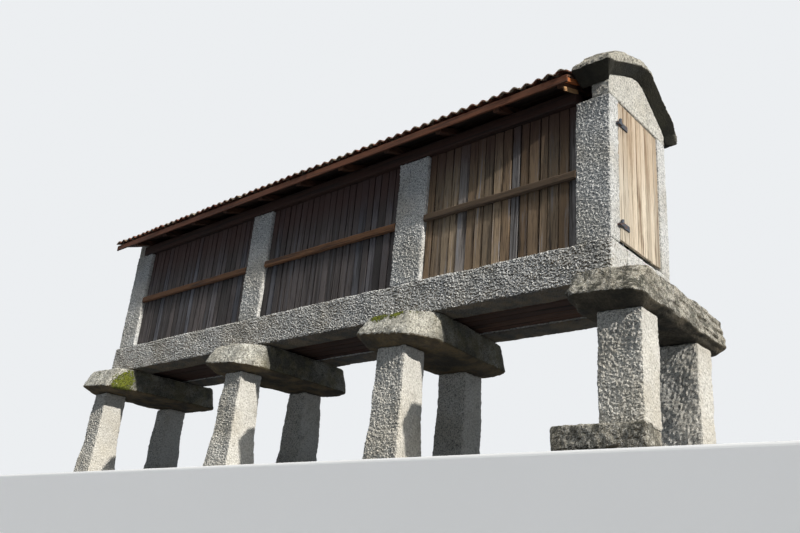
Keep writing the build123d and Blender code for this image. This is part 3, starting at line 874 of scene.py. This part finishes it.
def add_rafters(side, word):
    boards = Boards(270 + side)
    for low, high in solids(f"rafters_{word}"):
        x = (low.x + high.x) / 2
        inner, outer = min(abs(low.y), abs(high.y)), max(abs(low.y), abs(high.y))
        start = roof_point(x, inner + RAFTER_GAP, RAFTER_MIDDLE, side)
        end = roof_point(x, outer - RAFTER_END_GAP, RAFTER_MIDDLE, side)
        boards.add(start, end, (1, 0, 0), high.x - low.x - RAFTER_GAP, RAFTER_DEPTH,
                   ease=0.006, steps=10, worn=0.003)
    boards.piece(f"rafters_{word}_timber", RAFTER, "brown_timber", [f"rafters_{word}"])


def add_fascia(side, word):
    low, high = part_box(f"fascia_{word}")
    boards = Boards(280 + side)
    cut = low.x + FASCIA_JOINT * (high.x - low.x)
    for x0, x1 in ((low.x, cut), (cut, high.x)):
        add_beam(boards, Vector((x0, low.y, low.z)), Vector((x1, high.y, high.z - FASCIA_TOP_GAP)), 0,
                 worn=0.002, steps=30)
    boards.piece(f"fascia_{word}_boards", FASCIA, "brown_timber", [f"fascia_{word}"])


def add_wall_plate(side, word):
    low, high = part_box(f"wall_plate_{word}")
    boards = Boards(290 + side)
    add_beam(boards, low, Vector((high.x - PLATE_END_GAP, high.y, low.z + PLATE_HEIGHT)), 0,
             ease=0.008, worn=0.003, steps=40)
    boards.piece(f"wall_plate_{word}_timber", PLATE, "brown_timber", [f"wall_plate_{word}"])


def add_verge():
    """The freshly cut board under the deck at the front of the roof's door end."""
    boards = Boards(305)
    x = ROOF_NEAR - CLEARANCE - VERGE_WIDTH / 2
    start, end = roof_point(x, VERGE_START, VERGE_MIDDLE, -1), roof_point(x, VERGE_END, VERGE_MIDDLE, -1)
    boards.add(start, end, (1, 0, 0), VERGE_WIDTH, VERGE_DEPTH, ease=0.002, bow=0.001, worn=0.002)
    boards.piece("verge_board", CUT_WOOD, "brown_timber")


def add_rafter_lath():
    """The lath beside the foot of the last front rafter, pale with painted sunlight."""
    boards = Boards(306)
    x = solids("rafters_front")[-1][1].x - LATH_WIDTH / 2
    start, end = roof_point(x, LATH_START, LATH_MIDDLE, -1), roof_point(x, LATH_END, LATH_MIDDLE, -1)
    boards.add(start, end, (1, 0, 0), LATH_WIDTH, LATH_DEPTH, ease=0.002, bow=0.003, steps=20, worn=0.004)
    boards.piece("rafter_lath", PAINTED_SUNLIT_LATH, "brown_timber")


# Tiles

EAVE_REACH = -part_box("roof_tiles_front")[0][1]
# A slope's tiles, the ribs on each, the laps at its sides and over the next course, the lift of its
# lower end, its tilt across, and how far single tiles slip and rock
TILE_COUNT = 31
TILE_COURSES = 3
TILE_WIDTH = (ROOF_NEAR - ROOF_FAR) / TILE_COUNT
TILE_RIBS = 2
TILE_RISE = 0.028
TILE_THICK = 0.011
TILE_SIDE_LAP = 0.005
TILE_LAP = 0.055
TILE_LIFT = 0.018
TILE_TILT = 0.003
TILE_SLIP = 0.018
TILE_ROCK = 0.008
EAVE_GAP = 0.003
RIDGE_CLEAR = 0.012
TILE_STEPS_ACROSS, TILE_STEPS_ALONG = 20, 2
RIDGE_GAP = 0.03
SHARP_ANGLE = math.radians(50)


def add_tiles():
    exposed = (EAVE_REACH - RIDGE_GAP) / TILE_COURSES
    for side, word in SIDES:
        picker = random.Random(310 + side)
        bm = bmesh.new()
        layer = bm.verts.layers.float_vector.new("tone")
        for course in range(TILE_COURSES):
            low_reach = EAVE_REACH - EAVE_GAP - course * exposed
            for i in range(TILE_COUNT):
                lower = low_reach - TILE_SLIP * picker.random()
                upper = max(low_reach - exposed - TILE_LAP, RIDGE_CLEAR)
                tone = Vector((picker.random(), picker.random(), picker.random()))
                lean = (picker.random() - 0.5) * TILE_ROCK
                add_tile(bm, layer, ROOF_FAR + i * TILE_WIDTH, lower, upper, side, tone, lean)
        mesh = from_bmesh(bm)
        make_piece(f"roof_tiles_{word}_tiles", mesh, CLAY, [f"roof_tiles_{word}"], smooth=True)
        mesh.set_sharp_from_angle(angle=SHARP_ANGLE)


def add_tile(bm, layer, x, lower, upper, side, tone, lean):
    """One ribbed tile, a closed shell, lifted at its lower end over the course below."""
    grids = []
    for base in (0.0, TILE_THICK):
        grid = []
        for j in range(TILE_STEPS_ALONG + 1):
            t = j / TILE_STEPS_ALONG
            row = []
            for i in range(TILE_STEPS_ACROSS + 1):
                s = i / TILE_STEPS_ACROSS
                place = -TILE_SIDE_LAP + s * (TILE_WIDTH + 2 * TILE_SIDE_LAP)
                rib = (0.5 - 0.5 * math.cos(2 * math.pi * TILE_RIBS * place / TILE_WIDTH)) ** 0.85
                height = (DECK_THICK + CLEARANCE + TILE_LIFT * (1 - t) + TILE_TILT * s
                          + TILE_RISE * rib + base + lean * (s - 0.5))
                tile_x = x + (max(place, 0.0) if x <= ROOF_FAR else place)
                vert = bm.verts.new(roof_point(tile_x, lower + (upper - lower) * t, height, side))
                vert[layer] = tone
                row.append(vert)
            grid.append(row)
        grids.append(grid)
    join_grids(bm, *grids)


def join_grids(bm, under, top):
    """Closes two grids of vertices into a shell."""
    rows, columns = len(under) - 1, len(under[0]) - 1
    for grid in (under, top):
        for a, b in zip(grid, grid[1:]):
            for i in range(columns):
                bm.faces.new((a[i], a[i + 1], b[i + 1], b[i]))
    rim = ([(0, i) for i in range(columns)] + [(j, columns) for j in range(rows)]
           + [(rows, i) for i in range(columns, 0, -1)] + [(j, 0) for j in range(rows, 0, -1)])
    for (j0, i0), (j1, i1) in zip(rim, rim[1:] + rim[:1]):
        bm.faces.new((under[j0][i0], under[j1][i1], top[j1][i1], top[j0][i0]))


RIDGE_COUNT = 15
RIDGE_LAP = 0.035
RIDGE_THICK = 0.012
RIDGE_HALF_WIDTH = 0.094
RIDGE_HEIGHT = 0.034
RIDGE_HALF_TURN = 74
RIDGE_EDGE_SINE = math.sin(math.radians(RIDGE_HALF_TURN))
RIDGE_EDGE_COSINE = 0.276
RIDGE_STEPS = 12
# Where a ridge tile's collar starts and is full, counted back from its end, and how far it stands out
COLLAR_START, COLLAR_FULL, COLLAR_HALF_OUT, COLLAR_OUT = 0.05, 0.045, 0.004, 0.008


def add_ridge_tiles():
    low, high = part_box("ridge_tiles")
    pitch = (high.x - low.x) / RIDGE_COUNT
    picker = random.Random(320)
    bm = bmesh.new()
    layer = bm.verts.layers.float_vector.new("tone")
    for i in range(RIDGE_COUNT):
        tone = Vector((picker.random(), picker.random(), picker.random()))
        x0, x1 = low.x + i * pitch, min(low.x + (i + 1) * pitch + RIDGE_LAP, high.x)
        sections = ((x0, 0.0), (x1 - COLLAR_START, COLLAR_HALF_OUT), (x1 - COLLAR_FULL, COLLAR_OUT),
                    (x1, COLLAR_OUT))
        rings = [ridge_ring(bm, layer, tone, x, low.z, grow) for x, grow in sections]
        join_rings(bm, rings)
        for ring in (rings[0], rings[-1]):
            last = len(ring) - 1
            for k in range(RIDGE_STEPS):
                bm.faces.new((ring[k], ring[k + 1], ring[last - 1 - k], ring[last - k]))
    mesh = from_bmesh(bm)
    make_piece("ridge_tile_row", mesh, CLAY, ["ridge_tiles"], smooth=True)
    mesh.set_sharp_from_angle(angle=SHARP_ANGLE)


def ridge_ring(bm, layer, tone, x, foot, grow):
    """A ridge tile's cross section: over the arc along its inside, and back along its outside."""
    ring = []
    for out in (0.0, RIDGE_THICK):
        half, rise = RIDGE_HALF_WIDTH + out * 0.9 + grow * 0.4, RIDGE_HEIGHT + grow
        for k in range(RIDGE_STEPS + 1):
            turn = math.radians(-RIDGE_HALF_TURN + 2 * RIDGE_HALF_TURN * k / RIDGE_STEPS)
            y = half * math.sin(turn) / RIDGE_EDGE_SINE
            arch = (math.cos(turn) - RIDGE_EDGE_COSINE) / (1 - RIDGE_EDGE_COSINE)
            z = foot + 2 * CLEARANCE + rise * arch + out
            vert = bm.verts.new((x, y, z))
            vert[layer] = tone
            ring.append(vert)
    return ring[:RIDGE_STEPS + 1] + ring[:RIDGE_STEPS:-1]


# Door

# Boards: their number and thickness, the slit between them, how deep their middles lie behind the
# leaf's outer face, and how high their feet are over its foot, each with its spread
DOOR_BOARDS, DOOR_BOARD_THICK, DOOR_SLIT = 9, 0.022, 0.005
DOOR_BOARD_DEPTH, DOOR_DEPTH_SPREAD = 0.0125, 0.0015
DOOR_FOOT, DOOR_FOOT_SPREAD = 0.016, 0.006
# Battens: the lower one's height over the foot, the upper one's depth under the top, and their size
BATTEN_LOW, BATTEN_HIGH, BATTEN_MARGIN = 0.16, 0.20, 0.03
BATTEN_HALF_WIDTH = 0.045
BATTEN_THICK = 0.010


def add_door():
    low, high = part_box("door_leaf")
    boards = Boards(330)
    width = (high.y - low.y) / DOOR_BOARDS
    for i in range(DOOR_BOARDS):
        y = low.y + width * (i + 0.5)
        x = high.x - DOOR_BOARD_DEPTH - DOOR_DEPTH_SPREAD * boards.random.random()
        start = Vector((x, y, low.z + DOOR_FOOT + DOOR_FOOT_SPREAD * boards.random.random()))
        end = Vector((x, y, high.z - 2 * CLEARANCE))
        boards.add(start, end, (0, 1, 0), width - DOOR_SLIT, DOOR_BOARD_THICK, bow=0.001, steps=14)
    boards.piece("door_planks", DOOR, "door_wood", ["door_leaf"], "door")
    boards = Boards(331)
    back = low.x + CLEARANCE
    for z in (low.z + BATTEN_LOW, high.z - BATTEN_HIGH):
        add_beam(boards, Vector((back, low.y + BATTEN_MARGIN, z - BATTEN_HALF_WIDTH)),
                 Vector((back + BATTEN_THICK, high.y - BATTEN_MARGIN, z + BATTEN_HALF_WIDTH)), 1,
                 ease=0.002, bow=0.001, worn=0.001)
    boards.piece("door_battens", BATTEN, "door_wood", [], "door")


def add_iron():
    for node in ("door_straps", "door_pintles"):
        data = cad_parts[node].data
        data.materials.clear()
        data.materials.append(IRON)


# Stage and light

def stage_material():
    """Pale to the camera, and darker to other rays, so that little light comes back from the floor."""
    n = Nodes("stage", 0.9)
    seen = n.tree.nodes.new("ShaderNodeLightPath").outputs["Is Camera Ray"]
    pale = n.mix(n.ramp(n.noise(0.6, 3.0), 0.3, 0.7, 0.0, 0.2), STAGE_COLOUR, STAGE_CLOUD)
    n.put(n.shader.inputs["Emission Color"], STAGE_COLOUR)
    n.put(n.shader.inputs["Emission Strength"], n.times(seen, STAGE_LIFT))
    return n.finish(n.mix(seen, STAGE_BOUNCE, pale))


def stage_block(name, low, high, material):
    """A block of the stage with rounded edges."""
    bm = bmesh.new()
    bmesh.ops.create_cube(bm, size=1.0)
    for vert in bm.verts:
        vert.co = Vector([low[i] if vert.co[i] < 0 else high[i] for i in range(3)])
    bmesh.ops.bevel(bm, geom=bm.edges[:], offset=STAGE_ROUNDING, segments=4, affect="EDGES", profile=0.5)
    mesh = from_bmesh(bm)
    mesh.materials.append(material)
    stage = bpy.data.objects.new(name, mesh)
    bpy.context.scene.collection.objects.link(stage)


def add_stage():
    """A terrace that carries the granary, and the lower floor in front of it."""
    material = stage_material()
    far = TERRACE_REACH
    stage_block("terrace", (-far, TERRACE_FRONT, FLOOR_LEVEL), (far, far, 0.0), material)
    stage_block("floor", (-far, -far, FLOOR_LEVEL - FLOOR_THICK),
                (far, TERRACE_FRONT + FLOOR_UNDERLAP, FLOOR_LEVEL), material)


def add_world():
    """A weak fill light, which the camera, gloss and glass see as the pale background."""
    scene = bpy.context.scene
    scene.view_settings.view_transform = "Standard"
    world = scene.world or bpy.data.worlds.new("world")
    scene.world = world
    world.use_nodes = True
    tree = world.node_tree
    tree.nodes.clear()
    output = tree.nodes.new("ShaderNodeOutputWorld")
    mix = tree.nodes.new("ShaderNodeMixShader")
    shown, fill = tree.nodes.new("ShaderNodeBackground"), tree.nodes.new("ShaderNodeBackground")
    shown.inputs["Color"].default_value = (*BACKGROUND, 1.0)
    fill.inputs["Color"].default_value = (*FILL_COLOUR, 1.0)
    fill.inputs["Strength"].default_value = FILL_STRENGTH
    path = tree.nodes.new("ShaderNodeLightPath")
    total = path.outputs["Is Camera Ray"]
    for name in ("Is Glossy Ray", "Is Transmission Ray"):
        most = tree.nodes.new("ShaderNodeMath")
        most.operation = "MAXIMUM"
        tree.links.new(total, most.inputs[0])
        tree.links.new(path.outputs[name], most.inputs[1])
        total = most.outputs[0]
    tree.links.new(total, mix.inputs[0])
    tree.links.new(fill.outputs[0], mix.inputs[1])
    tree.links.new(shown.outputs[0], mix.inputs[2])
    tree.links.new(mix.outputs[0], output.inputs[0])


def add_sun(name, towards, strength, angle):
    sun = bpy.data.lights.new(name, "SUN")
    sun.energy = strength
    sun.color = SUN_COLOUR
    sun.angle = angle
    lamp = bpy.data.objects.new(name, sun)
    lamp.rotation_euler = towards.to_track_quat("Z", "Y").to_euler()
    bpy.context.scene.collection.objects.link(lamp)


add_camera()
add_stones()
add_slats()
add_rails()
add_floor()
add_roof_timber()
add_tiles()
add_ridge_tiles()
add_door()
add_iron()
add_stage()
add_world()
add_sun("sun", SUN_TOWARDS, SUN_STRENGTH, SUN_ANGLE)
add_sun("soft_sun", SOFT_TOWARDS, SOFT_STRENGTH, SOFT_ANGLE)
